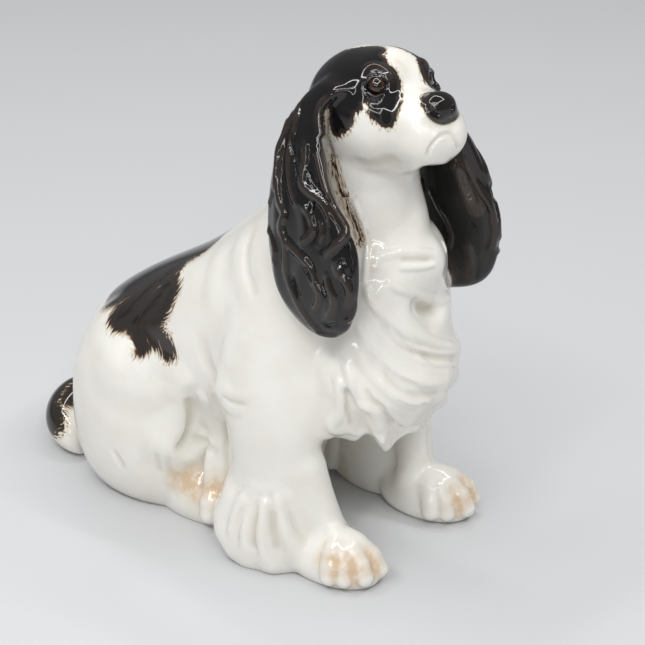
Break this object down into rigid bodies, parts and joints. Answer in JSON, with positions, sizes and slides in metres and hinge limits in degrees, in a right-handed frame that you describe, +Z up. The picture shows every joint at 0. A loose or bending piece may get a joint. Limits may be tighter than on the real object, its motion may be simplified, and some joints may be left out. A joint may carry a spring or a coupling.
{
  "type": "spaniel figure",
  "caption": "Seated spaniel figure in hollow glazed china with long hanging ears, a feathered chest and a flat seat to stand on.",
  "frame": {"origin": "on the ground, under the middle of the figure's bounding box", "axes": "+Z up, the dog looks along -Y, its left side is at +X"},
  "size_m": [0.1014, 0.1936, 0.1979],
  "materials": {
    "white_glaze": "gloss",
    "black_glaze": "gloss"
  },
  "bodies": {
    "root": {"body_casting": "white_glaze", "head_casting": "white_glaze", "right_ear": "black_glaze", "left_ear": "black_glaze", "right_foreleg": "white_glaze", "left_foreleg": "white_glaze", "right_hindleg": "white_glaze", "left_hindleg": "white_glaze", "tail": "white_glaze"}
  },
  "joints": []
}
